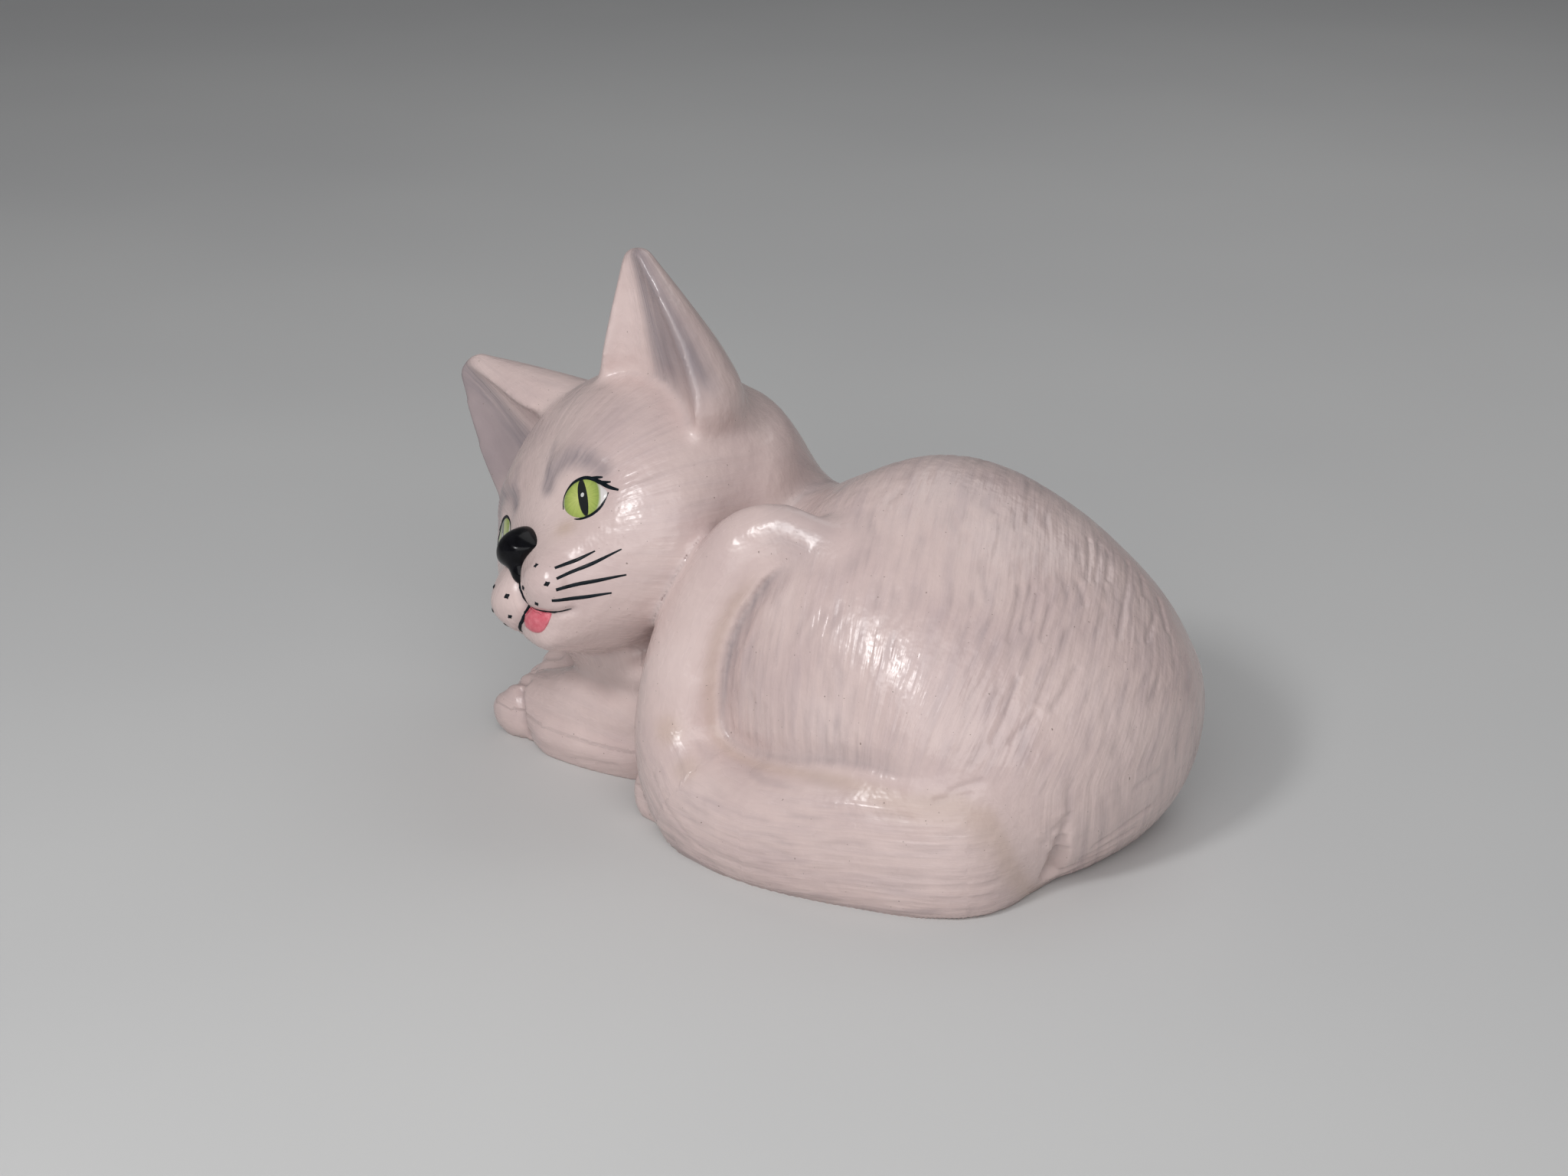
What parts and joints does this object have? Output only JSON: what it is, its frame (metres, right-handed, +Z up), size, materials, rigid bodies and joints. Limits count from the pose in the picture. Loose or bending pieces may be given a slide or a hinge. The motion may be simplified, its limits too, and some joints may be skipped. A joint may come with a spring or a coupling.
{
  "type": "ceramic cat figurine",
  "caption": "Glazed ceramic cat lying down with its head turned and tilted, a thick tail curled up over the haunch and an enamelled face; an ornament that rests on a flat base.",
  "frame": {"origin": "on the table under the middle of the figure's outline", "axes": "+Z up, -Y towards the display side that the face looks to, +X towards the rump, along the longest extent"},
  "size_m": [0.2696, 0.1716, 0.1763],
  "materials": {
    "glaze": "satin",
    "green_enamel": "gloss",
    "black_enamel": "gloss",
    "pink_enamel": "gloss"
  },
  "bodies": {
    "root": {"body_shell": "glaze", "head_shell": "glaze", "left_ear": "glaze", "right_ear": "glaze", "left_eye": "green_enamel", "right_eye": "green_enamel", "nose": "black_enamel", "tongue": "pink_enamel", "tail": "glaze", "left_foreleg": "glaze", "right_foreleg": "glaze", "left_hind_paw": "glaze", "right_hind_paw": "glaze"}
  },
  "joints": []
}
